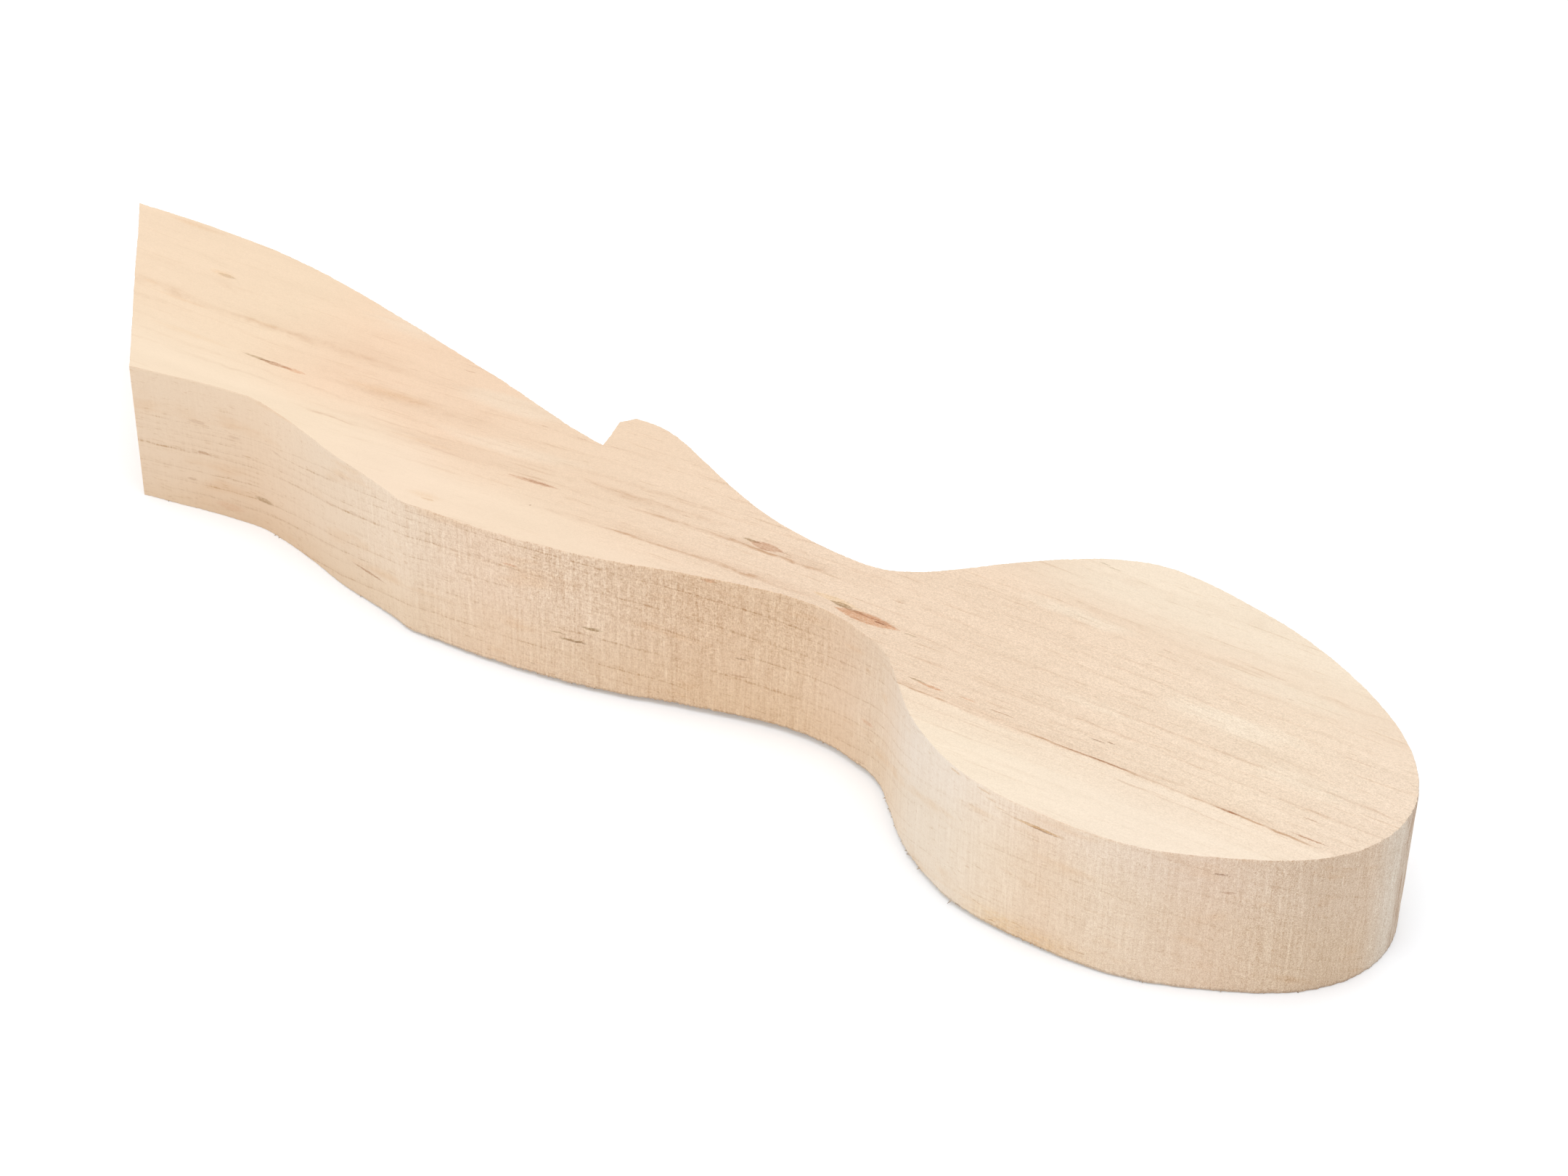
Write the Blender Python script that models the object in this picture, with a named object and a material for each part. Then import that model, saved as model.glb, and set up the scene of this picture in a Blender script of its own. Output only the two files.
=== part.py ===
"""A spoon-carving blank: one solid piece of pale hardwood, bandsawn to a spoon's outline from a one-inch board.

Metres, +Z up. The blank lies on its lower face. The origin is the middle of the outline's bounding box, on that
lower face. +X runs from the handle's tail to the tip of the bowl, and +Y towards the edge that holds the thumb notch.
"""

import bpy

MM = 0.001

# Driving dimensions, in millimetres.
BOARD_THICKNESS = 25.0  # a one-inch board, planed on both faces

BOWL_TIP_X = 115.6
BOWL_WIDEST_X = 68.0
BOWL_HALF_WIDTH = 27.2

NECK_NOTCH_SIDE = (23.0, 1.5)
NECK_PLAIN_SIDE = (29.5, -10.0)

NOTCH_CORNER = (-19.5, 1.2)  # the inner corner, where the two saw cuts meet
NOTCH_LIP = (-20.8, 7.0)  # the thumb rest's overhanging lip
THUMB_REST_TOP = (-15.8, 9.65)

HANDLE_BELLY = (-35.0, -26.5)
HANDLE_WAIST = (-68.0, -21.0)
HANDLE_CROWN = (-87.0, 9.8)

TAIL_NOTCH_SIDE = (-115.6, 6.6)  # the tail is one straight, skewed saw cut between these two corners
TAIL_PLAIN_SIDE = (-88.3, -25.9)

CURVE_STEPS = 8  # straight steps between one outline station and the next

SMOOTH, CORNER = "AUTO", "VECTOR"

# The plain edge, from the tail to the middle of the bowl.
PLAIN_EDGE = [
    (*TAIL_PLAIN_SIDE, CORNER),
    (-84.0, -24.7, SMOOTH),
    (-78.0, -22.95, SMOOTH),
    (-73.0, -21.75, SMOOTH),
    (*HANDLE_WAIST, SMOOTH),
    (-63.0, -21.5, SMOOTH),
    (-57.0, -22.55, SMOOTH),
    (-50.0, -24.1, SMOOTH),
    (-43.0, -25.1, SMOOTH),
    (-38.5, -25.85, SMOOTH),
    (*HANDLE_BELLY, SMOOTH),
    (-30.5, -25.9, SMOOTH),
    (-22.0, -24.65, SMOOTH),
    (-12.0, -22.4, SMOOTH),
    (-2.0, -19.15, SMOOTH),
    (8.0, -15.2, SMOOTH),
    (18.0, -11.75, SMOOTH),
    (24.0, -10.4, SMOOTH),
    (*NECK_PLAIN_SIDE, SMOOTH),
    (35.0, -10.8, SMOOTH),
    (40.0, -12.35, SMOOTH),
    (45.0, -16.4, SMOOTH),
    (50.0, -20.75, SMOOTH),
    (55.0, -23.75, SMOOTH),
    (61.0, -26.15, SMOOTH),
    (BOWL_WIDEST_X, -BOWL_HALF_WIDTH, SMOOTH),
]

# Round the bowl, from its widest place on the plain side to the same place on the notch side.
BOWL_ROUND = [
    (76.0, -26.95, SMOOTH),
    (84.0, -26.05, SMOOTH),
    (90.0, -24.5, SMOOTH),
    (96.0, -21.8, SMOOTH),
    (102.0, -18.5, SMOOTH),
    (107.5, -14.8, SMOOTH),
    (111.5, -10.9, SMOOTH),
    (114.5, -5.8, SMOOTH),
    (BOWL_TIP_X, 0.0, SMOOTH),
    (114.5, 5.8, SMOOTH),
    (111.5, 10.95, SMOOTH),
    (107.5, 14.9, SMOOTH),
    (102.0, 18.65, SMOOTH),
    (96.0, 21.65, SMOOTH),
    (90.0, 23.9, SMOOTH),
    (83.0, 25.7, SMOOTH),
    (76.0, 26.6, SMOOTH),
    (BOWL_WIDEST_X, BOWL_HALF_WIDTH, SMOOTH),
]

# The notch edge, from the bowl back to the tail.
NOTCH_EDGE = [
    (62.0, 26.75, SMOOTH),
    (56.0, 24.35, SMOOTH),
    (50.0, 20.1, SMOOTH),
    (44.0, 14.55, SMOOTH),
    (38.0, 8.35, SMOOTH),
    (33.0, 4.1, SMOOTH),
    (29.0, 2.15, SMOOTH),
    (*NECK_NOTCH_SIDE, SMOOTH),
    (16.0, 1.7, SMOOTH),
    (9.0, 2.6, SMOOTH),
    (2.0, 4.4, SMOOTH),
    (-5.5, 7.15, SMOOTH),
    (-11.5, 9.2, SMOOTH),
    (*THUMB_REST_TOP, SMOOTH),
    (-19.3, 9.15, CORNER),
    (*NOTCH_LIP, CORNER),
    (*NOTCH_CORNER, CORNER),
    (-24.0, 1.65, SMOOTH),
    (-30.0, 2.6, SMOOTH),
    (-40.0, 4.5, SMOOTH),
    (-50.0, 6.0, SMOOTH),
    (-62.0, 7.65, SMOOTH),
    (-75.0, 9.2, SMOOTH),
    (*HANDLE_CROWN, SMOOTH),
    (-98.0, 9.1, SMOOTH),
    (-108.0, 7.85, SMOOTH),
    (*TAIL_NOTCH_SIDE, CORNER),
]

WOOD_COLOUR = (0.86, 0.67, 0.48, 1.0)
WOOD_ROUGHNESS = 0.62


def clear_scene():
    for obj in list(bpy.data.objects):
        bpy.data.objects.remove(obj, do_unlink=True)


def wood_material():
    material = bpy.data.materials.new("pale_wood")
    material.use_nodes = True
    shader = material.node_tree.nodes["Principled BSDF"]
    shader.inputs["Base Color"].default_value = WOOD_COLOUR
    shader.inputs["Roughness"].default_value = WOOD_ROUGHNESS
    shader.inputs["Metallic"].default_value = 0.0
    material.diffuse_color = WOOD_COLOUR
    return material


def sawn_profile(name, stations, thickness):
    """One closed outline in the XY plane, filled and extruded evenly to both sides of that plane."""
    curve = bpy.data.curves.new(name, "CURVE")
    curve.dimensions = "2D"
    curve.fill_mode = "BOTH"
    curve.resolution_u = CURVE_STEPS
    curve.render_resolution_u = 0
    curve.extrude = thickness / 2 * MM
    spline = curve.splines.new("BEZIER")
    spline.bezier_points.add(len(stations) - 1)
    for point, (x, y, kind) in zip(spline.bezier_points, stations):
        point.co = (x * MM, y * MM, 0.0)
        point.handle_left_type = kind
        point.handle_right_type = kind
    spline.use_cyclic_u = True
    spline.use_smooth = True
    return bpy.data.objects.new(name, curve)


def main():
    clear_scene()
    blank = sawn_profile("spoon_blank", PLAIN_EDGE + BOWL_ROUND + NOTCH_EDGE, BOARD_THICKNESS)
    blank.data.materials.append(wood_material())
    blank.location = (0.0, 0.0, BOARD_THICKNESS / 2 * MM)
    bpy.context.scene.collection.objects.link(blank)


main()
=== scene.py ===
"""The looks of a bandsawn spoon-carving blank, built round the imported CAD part.

One piece, spoon_blank_wood, stands for the CAD node spoon_blank. Its outline is read from that node, so it keeps the
part's size. The sawn sides carry tooth marks as geometry, the edges are slightly broken, and the lower face is bowed.
Lengths in the geometry and in the materials are millimetres, turned into metres at the very end.
"""

import math
import bpy
import numpy as np
from mathutils import Matrix, Vector
from mathutils.geometry import delaunay_2d_cdt


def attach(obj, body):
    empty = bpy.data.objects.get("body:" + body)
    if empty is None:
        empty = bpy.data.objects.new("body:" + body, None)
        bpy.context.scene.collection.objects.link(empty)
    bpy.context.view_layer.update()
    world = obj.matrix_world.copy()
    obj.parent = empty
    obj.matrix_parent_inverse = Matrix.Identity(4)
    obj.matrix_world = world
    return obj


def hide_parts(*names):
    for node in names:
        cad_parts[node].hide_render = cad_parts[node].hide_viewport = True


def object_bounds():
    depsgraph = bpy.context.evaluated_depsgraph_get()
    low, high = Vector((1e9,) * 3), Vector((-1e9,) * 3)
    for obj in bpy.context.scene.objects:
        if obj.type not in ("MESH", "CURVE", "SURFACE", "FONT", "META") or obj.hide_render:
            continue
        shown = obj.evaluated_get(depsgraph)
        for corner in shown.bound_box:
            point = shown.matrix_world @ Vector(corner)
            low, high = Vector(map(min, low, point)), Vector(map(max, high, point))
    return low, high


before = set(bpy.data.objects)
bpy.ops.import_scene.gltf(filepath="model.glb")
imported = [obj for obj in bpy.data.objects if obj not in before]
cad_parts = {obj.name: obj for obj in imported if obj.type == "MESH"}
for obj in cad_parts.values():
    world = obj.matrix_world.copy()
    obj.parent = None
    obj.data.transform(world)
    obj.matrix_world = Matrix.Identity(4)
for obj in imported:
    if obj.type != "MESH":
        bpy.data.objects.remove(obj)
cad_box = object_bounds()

MM = 0.001
THICK = 25.0
COLUMN_STEP = 0.13  # spacing of the columns of the sawn side, along the outline

# ---------------------------------------------------------------------------------------------------------------------
# The outline, from the CAD node
# ---------------------------------------------------------------------------------------------------------------------


def cad_outline(obj):
    """The upper edge of the CAD solid as an ordered, anticlockwise loop, in mm."""
    mesh = obj.data
    co = np.empty(len(mesh.vertices) * 3)
    mesh.vertices.foreach_get("co", co)
    world = np.array(obj.matrix_world)
    co = (co.reshape(-1, 3) @ world[:3, :3].T + world[:3, 3]) / MM
    _, first, index = np.unique(
        np.round(co, 3), axis=0, return_index=True, return_inverse=True
    )
    index = index.reshape(-1)
    points = co[first]
    top = points[:, 2] > points[:, 2].max() - 0.01
    used = {}
    for poly in mesh.polygons:
        ring = [int(index[v]) for v in poly.vertices]
        if not all(top[v] for v in ring):
            continue
        for a, b in zip(ring, ring[1:] + ring[:1]):
            if (b, a) in used:
                used[(b, a)] += 1
            else:
                used[(a, b)] = used.get((a, b), 0) + 1
    following = {a: b for (a, b), times in used.items() if times == 1}
    start = min(following)
    loop, here = [start], following[start]
    while here != start:
        loop.append(here)
        here = following[here]
    loop = points[loop, :2]
    x, y = loop.T
    area = (x * np.roll(y, -1) - np.roll(x, -1) * y).sum()
    return loop if area > 0 else loop[::-1]


def smooth_run(points, step):
    """A run of the outline between two corners, resampled evenly on a cubic through its points."""
    d = np.r_[0, np.cumsum(np.hypot(*np.diff(points, axis=0).T))]
    if len(points) < 4:
        count = max(2, int(round(d[-1] / step)))
        s = np.linspace(0, d[-1], count + 1)
        return np.c_[np.interp(s, d, points[:, 0]), np.interp(s, d, points[:, 1])]
    h = np.diff(d)
    chord = np.diff(points, axis=0) / h[:, None]
    tangent = np.empty_like(points)
    w = h[:-1] / (h[:-1] + h[1:])
    tangent[1:-1] = chord[:-1] * (1 - w)[:, None] + chord[1:] * w[:, None]
    tangent[0] = 1.5 * chord[0] - 0.5 * tangent[1]
    tangent[-1] = 1.5 * chord[-1] - 0.5 * tangent[-2]
    count = max(2, int(round(d[-1] / step)))
    s = np.linspace(0, d[-1], count + 1)
    k = np.clip(np.searchsorted(d, s, side="right") - 1, 0, len(h) - 1)
    t = ((s - d[k]) / h[k])[:, None]
    hk = h[k][:, None]
    return (
        (2 * t**3 - 3 * t**2 + 1) * points[k]
        + (t**3 - 2 * t**2 + t) * hk * tangent[k]
        + (-2 * t**3 + 3 * t**2) * points[k + 1]
        + (t**3 - t**2) * hk * tangent[k + 1]
    )


def resampled(loop, step):
    """(points, corner indices) of the loop, evenly spaced between its corners, starting at the tail's plain corner."""
    before, after = loop - np.roll(loop, 1, axis=0), np.roll(loop, -1, axis=0) - loop
    turn = np.degrees(
        np.arctan2(
            before[:, 0] * after[:, 1] - before[:, 1] * after[:, 0],
            (before * after).sum(axis=1),
        )
    )
    corners = np.flatnonzero(np.abs(turn) > 20)
    start = corners[np.argmin(np.hypot(*(loop[corners] - (-88.3, -25.9)).T))]
    loop = np.roll(loop, -start, axis=0)
    corners = sorted((c - start) % len(loop) for c in corners)
    closed = np.vstack([loop, loop[:1]])
    runs, at, total = [], [], 0
    for a, b in zip(corners, corners[1:] + [len(loop)]):
        run = smooth_run(closed[a : b + 1], step)[:-1]
        at.append(total)
        total += len(run)
        runs.append(run)
    return np.vstack(runs), at


# ---------------------------------------------------------------------------------------------------------------------
# Saw marks and edges, as seeded noise
# ---------------------------------------------------------------------------------------------------------------------

rng = np.random.default_rng(20)
Z_STEP = 0.25
Z_COUNT = int(THICK / Z_STEP) + 1


def field(count, step, along, across):
    """Noise of rms 1 on the unrolled side: periodic along the outline, smooth over these lengths in mm."""
    rows = Z_COUNT + 27
    white = rng.standard_normal((count, rows))
    fs = np.fft.fftfreq(count, step)[:, None]
    fz = np.fft.rfftfreq(rows, Z_STEP)[None, :]
    gain = np.exp(-2 * (math.pi * fs * along) ** 2 - 2 * (math.pi * fz * across) ** 2)
    made = np.fft.irfft2(np.fft.rfft2(white) * gain, s=white.shape)[:, :Z_COUNT]
    return made / made.std()


def line_noise(count, step, along):
    white = rng.standard_normal(count)
    gain = np.exp(-2 * (math.pi * np.fft.fftfreq(count, step) * along) ** 2)
    made = np.real(np.fft.ifft(np.fft.fft(white) * gain))
    return made / made.std()


def smoothstep(x, lo, hi):
    t = np.clip((x - lo) / (hi - lo), 0, 1)
    return t * t * (3 - 2 * t)


# How rough the saw left each stretch, by distance along the outline from the tail's plain corner.
ROUGH_AT = [
    (0, 0.25),
    (40, 0.3),
    (58, 0.55),
    (66, 1.0),
    (116, 1.0),
    (128, 0.6),
    (136, 0.25),
    (160, 0.25),
    (172, 0.6),
    (195, 0.7),
    (203, 1.0),
    (215, 1.0),
    (221, 0.75),
    (225, 0.75),
    (228, 1.0),
    (232, 0.8),
    (236, 0.3),
    (240, 0.8),
    (300, 0.6),
    (380, 0.8),
    (440, 0.7),
    (500, 0.6),
    (529, 0.5),
]

# How far the cut strays outwards at the lower edge, where the blade drifted.
DRIFT_AT = [
    (0, -0.25),
    (8, 0.0),
    (18, 0.15),
    (30, -0.1),
    (42, 0.05),
    (52, -0.3),
    (60, 0.0),
    (70, 0.32),
    (80, 0.65),
    (92, 0.95),
    (104, 1.15),
    (120, 1.1),
    (128, 0.75),
    (136, 0.5),
    (148, 0.36),
    (160, 0.36),
    (170, 0.06),
    (186, -0.1),
    (204, -0.05),
    (222, -0.24),
    (230, -0.35),
    (250, -0.1),
    (300, 0.1),
    (360, -0.15),
    (420, 0.1),
    (470, -0.1),
    (505, 0.05),
    (529, -0.25),
]

# How high the bowed lower face stands off the bench, by x.
BOW_AT = [
    (-116, 0.0),
    (-60, 0.0),
    (-50, 0.1),
    (-38, 0.4),
    (-28, 0.52),
    (-10, 0.62),
    (2, 0.8),
    (16, 0.97),
    (30, 1.0),
    (40, 0.86),
    (52, 0.68),
    (66, 0.62),
    (76, 0.45),
    (90, 0.24),
    (104, 0.1),
    (112, 0.0),
    (116, 0.0),
]


def profile(table, x):
    """The table's values at x, with the corners of the straight interpolation rounded off."""
    xs, ys = np.array(table, float).T
    spread = np.linspace(-3, 3, 7)
    return np.mean([np.interp(x + d, xs, ys) for d in spread], axis=0)


loop = cad_outline(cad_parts["spoon_blank"])
edge, corner_at = resampled(loop, COLUMN_STEP)
N = len(edge)
lengths = np.hypot(*(np.roll(edge, -1, axis=0) - edge).T)
PERIMETER = lengths.sum()
S = np.r_[0, np.cumsum(lengths)[:-1]]
STEP = PERIMETER / N

# Outward normals, smoothed over about a millimetre so that neighbouring columns never cross.
tangent = np.roll(edge, -3, axis=0) - np.roll(edge, 3, axis=0)
tangent /= np.hypot(*tangent.T)[:, None]
normal = np.c_[tangent[:, 1], -tangent[:, 0]]
kernel = np.exp(-0.5 * (np.arange(-8, 9) / 3.0) ** 2)
kernel /= kernel.sum()
normal = sum(k * np.roll(normal, -i, axis=0) for k, i in zip(kernel, range(-8, 9)))
normal /= np.hypot(*normal.T)[:, None]

corner_s = S[corner_at]
gap = np.abs(S[:, None] - corner_s[None, :])
corner_near = np.minimum(gap, PERIMETER - gap).min(axis=1)
calm = 0.25 + 0.75 * smoothstep(corner_near, 0.3, 1.6)

rough = profile(ROUGH_AT, S)
rough = np.clip(rough + 0.12 * line_noise(N, STEP, 3.0), 0.1, 1.2)

teeth = field(N, STEP, 0.11, 7.0)
scratch = field(N, STEP, 0.16, 1.4)
ripple = field(N, STEP, 0.34, 14.0)
wander = field(N, STEP, 5.0, 9.0)
dents = field(N, STEP, 0.8, 1.2)
relief = calm[:, None] * (
    rough[:, None] * (0.020 * teeth + 0.013 * scratch + 0.016 * ripple + 0.018 * dents)
    + 0.045 * wander
)

ROWS = [
    0.0,
    0.06,
    0.18,
    0.42,
    0.85,
    1.6,
    2.8,
    4.6,
    6.8,
    9.2,
    11.6,
    14.0,
    16.4,
    18.8,
    21.0,
    22.8,
    24.0,
    24.6,
    24.86,
]
z_grid = np.arange(Z_COUNT) * Z_STEP
drift = profile(DRIFT_AT, S)
torn = smoothstep(S, 128, 140) * (1 - smoothstep(S, 168, 182))
frayed = 0.35 + 0.65 * np.maximum(torn, smoothstep(S, 60, 75) * (1 - smoothstep(S, 118, 130)))
fray_in = np.abs(line_noise(N, STEP, 0.22))
fray_up = np.abs(line_noise(N, STEP, 0.3))
nick = np.abs(line_noise(N, STEP, 0.16))

ring_xy = []
ring_z = []
for z in ROWS:
    k = min(int(z / Z_STEP), Z_COUNT - 2)
    t = z / Z_STEP - k
    out = relief[:, k] * (1 - t) + relief[:, k + 1] * t
    out = out + drift * (1 - z / THICK)
    low = math.exp(-z / 0.25)
    out = out - low * calm * frayed * (0.05 + 0.09 * fray_in)
    high = math.exp(-(THICK - z) / 0.2)
    out = out - high * calm * (0.02 + 0.03 * nick * rough)
    ring_xy.append(edge + normal * out[:, None])
    ring_z.append(np.full(N, z))

ring_xy, ring_z = np.array(ring_xy), np.array(ring_z)

# Splinters the blade left hanging at the lower edge: single teeth of wood, a fraction of a millimetre wide.
lift = np.zeros(N)
for at, reach, drop in [(158.6, 1.1, 0.5), (136.2, 0.45, 0.1), (151.0, 0.5, 0.2), (168.4, 0.4, 0.1)]:
    i = int(round(at / STEP)) % N
    ring_xy[0, i] += normal[i] * reach
    lift[i] = -drop
shreds = rng.random(N) < 0.02 + 0.07 * torn
ring_xy[0, shreds] += normal[shreds] * rng.uniform(0.08, 0.32, shreds.sum())[:, None]

bow_edge = profile(BOW_AT, edge[:, 0])
for row, z in enumerate(ROWS):
    low = math.exp(-z / 0.3)
    ring_z[row] = z + bow_edge * (1 - z / THICK) + low * 0.10 * frayed * fray_up * calm
ring_z[0] = np.maximum(ring_z[0] + lift * bow_edge, 0.0)

# The planed faces: an inset rim, two coarser rings and an even grid, triangulated together.


def inset_loop(ring, by, keep_every):
    picked = np.arange(0, N, keep_every)
    inner = ring[picked] - normal[picked] * by
    far = np.array(
        [np.hypot(*(ring[::3] - p).T).min() > 0.9 * by for p in inner], dtype=bool
    )
    return inner[far]


def inside(points, ring):
    x, y = points[:, 0][:, None], points[:, 1][:, None]
    x0, y0 = ring[:, 0][None, :], ring[:, 1][None, :]
    x1, y1 = np.roll(ring, -1, axis=0).T
    crosses = (y0 > y) != (y1[None, :] > y)
    at = x0 + (y - y0) / np.where(y1[None, :] == y0, 1, y1[None, :] - y0) * (
        x1[None, :] - x0
    )
    return (crosses & (x < at)).sum(axis=1) % 2 == 1


def cap(ring):
    """(points, triangles) that fill a loop. The loop's own points come first and in order."""
    mids = np.vstack([inset_loop(ring, 0.8, 5), inset_loop(ring, 2.2, 14)])
    gx, gy = np.meshgrid(np.arange(-114, 115, 2.6), np.arange(-27, 28, 2.6))
    gx = gx + 1.3 * (np.arange(gx.shape[0]) % 2)[:, None]
    grid = np.c_[gx.ravel(), gy.ravel()]
    grid = grid[inside(grid, ring[::6])]
    grid = grid[[np.hypot(*(ring[::6] - p).T).min() > 3.6 for p in grid]]
    points = np.vstack([ring, mids, grid])
    loop_edges = [(i, (i + 1) % N) for i in range(N)]
    verts, _, faces, origin, _, _ = delaunay_2d_cdt(
        [Vector(p) for p in points], loop_edges, [list(range(N))], 1, 1e-6
    )
    source = [o[0] if o else -1 for o in origin]
    return points, [[source[v] for v in face] for face in faces]


top_rim = ring_xy[-1] - normal * (0.07 + 0.035 * nick * rough)[:, None] * calm[:, None]
low_rim = ring_xy[0] - normal * 0.10
top_points, top_faces = cap(top_rim)
low_points, low_faces = cap(low_rim)

low_limit, high_limit = (np.array(side) / MM for side in cad_box)


def build_mesh():
    rows = len(ROWS)
    verts = [np.c_[ring_xy[row], ring_z[row]] for row in range(rows)]
    top_start = rows * N
    verts.append(np.c_[top_points, np.full(len(top_points), THICK)])
    low_start = top_start + len(top_points)
    low_z = profile(BOW_AT, low_points[:, 0])
    low_z[:N] = np.minimum(ring_z[0], bow_edge)
    verts.append(np.c_[low_points, low_z])
    verts = np.clip(np.vstack(verts), low_limit, high_limit)

    i = np.arange(N)
    j = (i + 1) % N
    quads = []
    for row in range(rows - 1):
        a, b = row * N, (row + 1) * N
        quads.append(np.c_[a + i, a + j, b + j, b + i])
    a = (rows - 1) * N
    quads.append(np.c_[a + i, a + j, top_start + j, top_start + i])
    quads.append(np.c_[low_start + i, low_start + j, j, i])
    quads = np.vstack(quads)

    def turned(points, faces, up):
        made = []
        for face in faces:
            x, y = points[face].T
            area = (x * np.roll(y, -1) - np.roll(x, -1) * y).sum()
            made.append(face if (area > 0) == up else face[::-1])
        return np.array(made)

    tops = turned(top_points, top_faces, True) + top_start
    lows = turned(low_points, low_faces, False) + low_start
    faces = [list(map(int, f)) for f in quads]
    faces += [list(map(int, f)) for f in tops]
    faces += [list(map(int, f)) for f in lows]

    mesh = bpy.data.meshes.new("spoon_blank_wood")
    mesh.from_pydata((verts * MM).tolist(), [], faces)
    mesh.update()

    count = len(faces)
    slots = np.zeros(count, dtype=np.int32)
    slots[len(quads) : len(quads) + len(tops)] = 1
    slots[len(quads) + len(tops) :] = 2
    mesh.polygons.foreach_set("material_index", slots)
    mesh.polygons.foreach_set("use_smooth", slots == 0)

    # Distance along the outline and height, for the saw marks in the material. Kept per corner, so it can wrap round.
    along = np.r_[S, PERIMETER]
    saw = np.zeros((len(mesh.loops), 3))
    per_row = np.stack([i, i + 1, i + 1, i], axis=1)
    at = 0
    z_rows = ROWS + [THICK]
    for row in range(rows + 1):
        if row < rows:
            z_low, z_high = z_rows[row], z_rows[row + 1]
        else:
            z_low, z_high = 0.0, 0.0
        block = saw[at : at + 4 * N].reshape(N, 4, 3)
        block[:, :, 0] = along[per_row]
        block[:, 0:2, 1] = z_low
        block[:, 2:4, 1] = z_high
        at += 4 * N
    attribute = mesh.attributes.new("saw", "FLOAT_VECTOR", "CORNER")
    attribute.data.foreach_set("vector", saw.ravel())

    roughness = np.zeros(len(mesh.vertices))
    roughness[: rows * N] = np.tile(rough, rows)
    roughness[top_start : top_start + N] = rough
    roughness[low_start : low_start + N] = rough
    attribute = mesh.attributes.new("sawn_rough", "FLOAT", "POINT")
    attribute.data.foreach_set("value", roughness)

    corner_columns = set(corner_at)
    sharp = np.zeros(len(mesh.edges), dtype=bool)
    ends = np.empty(len(mesh.edges) * 2, dtype=np.int64)
    mesh.edges.foreach_get("vertices", ends)
    ends = ends.reshape(-1, 2)
    side = (ends < top_start).all(axis=1)
    column = ends % N
    is_corner = np.isin(column[:, 0], list(corner_columns))
    sharp[side & (column[:, 0] == column[:, 1]) & is_corner] = True
    attribute = mesh.attributes.new("sharp_edge", "BOOLEAN", "EDGE")
    attribute.data.foreach_set("value", sharp)
    mesh.validate()
    return mesh


blank = bpy.data.objects.new("spoon_blank_wood", build_mesh())
bpy.context.scene.collection.objects.link(blank)
print("faces", len(blank.data.polygons), "columns", N, "perimeter", round(PERIMETER, 2))

# ---------------------------------------------------------------------------------------------------------------------
# Materials
# ---------------------------------------------------------------------------------------------------------------------


def linear(rgb):
    """A colour given as 0-255 sRGB, as linear numbers."""
    c = np.array(rgb, float) / 255
    return np.where(c <= 0.04045, c / 12.92, ((c + 0.055) / 1.055) ** 2.4)


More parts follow.
